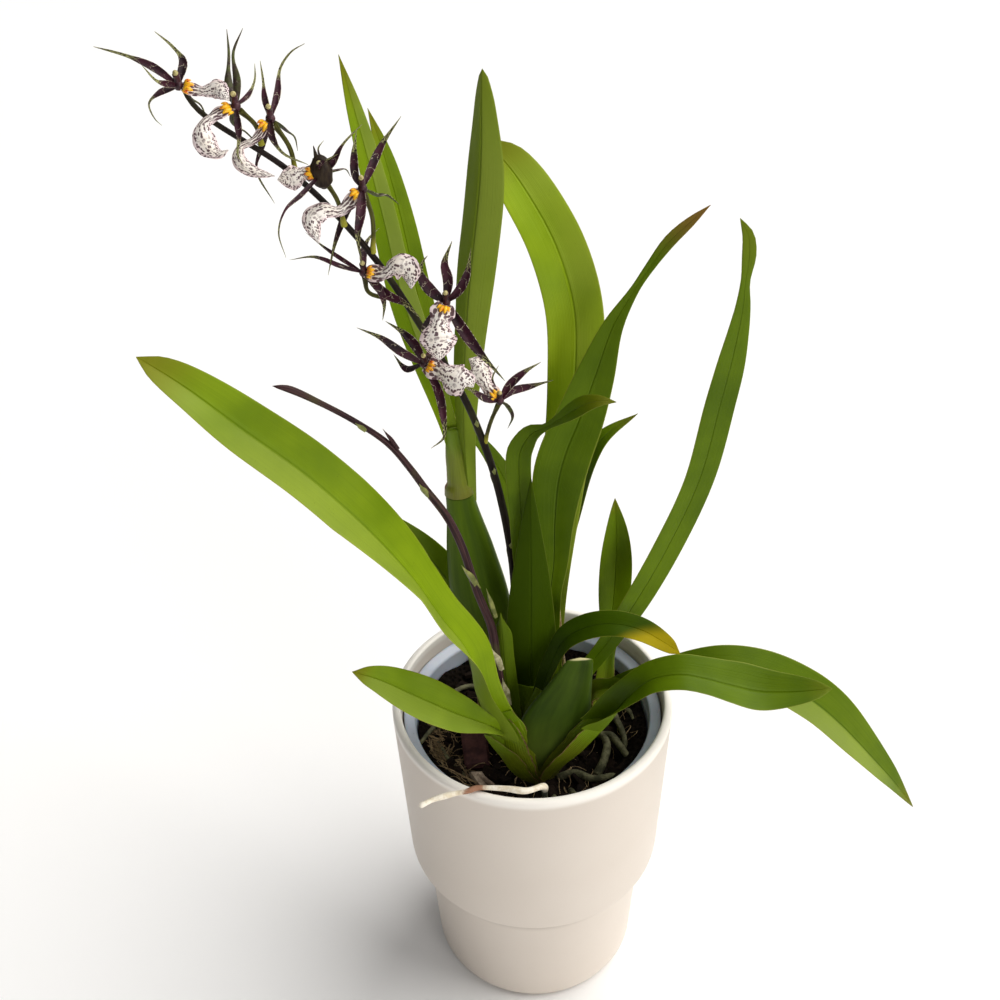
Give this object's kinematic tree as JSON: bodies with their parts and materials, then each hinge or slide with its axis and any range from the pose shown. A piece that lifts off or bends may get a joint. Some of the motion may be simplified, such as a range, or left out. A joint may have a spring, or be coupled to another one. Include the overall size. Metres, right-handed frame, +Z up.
{
  "type": "potted oncidium orchid",
  "caption": "Spider-flowered oncidium orchid in a plain two-step cream cover pot, with arching strap leaves, flattened bulbs, a flower spike and a bare spike",
  "frame": {"origin": "middle of the pot's flat underside", "axes": "+Z up, -Y towards the side the blooms face, +X to the right seen from there"},
  "size_m": [0.3512, 0.145, 0.5061],
  "materials": {
    "pot_clay": "satin cream",
    "liner_plastic": "frosted",
    "bark_mix": "rough damp bark",
    "bulb_green": "smooth waxy bulb",
    "leaf_green": "satin leaf",
    "stem_purple": "satin dark stem",
    "tepal_maroon": "soft petal",
    "lip_cream": "soft petal with dark streaks",
    "root_pale": "dry aerial root",
    "straw_dry": "dry straw"
  },
  "bodies": {
    "root": {"pot": "pot_clay", "liner": "liner_plastic", "potting_mix": "bark_mix", "growth_front": "bulb_green", "growth_back": "bulb_green", "growth_centre": "bulb_green", "growth_right": "bulb_green", "leaf_long_left": "leaf_green", "leaf_short_left": "leaf_green", "leaf_behind_left": "leaf_green", "leaf_top_outer": "leaf_green", "leaf_top_inner": "leaf_green", "leaf_tall_centre": "leaf_green", "leaf_arching_back": "leaf_green", "leaf_twisted": "leaf_green", "leaf_bent": "leaf_green", "leaf_pointed": "leaf_green", "leaf_behind_right": "leaf_green", "leaf_small_right": "leaf_green", "leaf_behind_spike": "leaf_green", "leaf_long_right": "leaf_green", "leaf_yellow_tip": "leaf_green", "leaf_front_right": "leaf_green", "leaf_drooping_right": "leaf_green", "spike_flowering": "stem_purple", "spike_budding": "stem_purple", "rim_root": "root_pale", "dry_straw": "straw_dry", "bloom_1": "tepal_maroon", "lip_1": "lip_cream", "bloom_2": "tepal_maroon", "lip_2": "lip_cream", "bloom_3": "tepal_maroon", "lip_3": "lip_cream", "bloom_4": "tepal_maroon", "lip_4": "lip_cream", "bloom_5": "tepal_maroon", "lip_5": "lip_cream", "bloom_6": "tepal_maroon", "lip_6": "lip_cream", "bloom_7": "tepal_maroon", "lip_7": "lip_cream", "bloom_8": "tepal_maroon", "lip_8": "lip_cream", "bloom_9": "tepal_maroon", "lip_9": "lip_cream"}
  },
  "joints": []
}
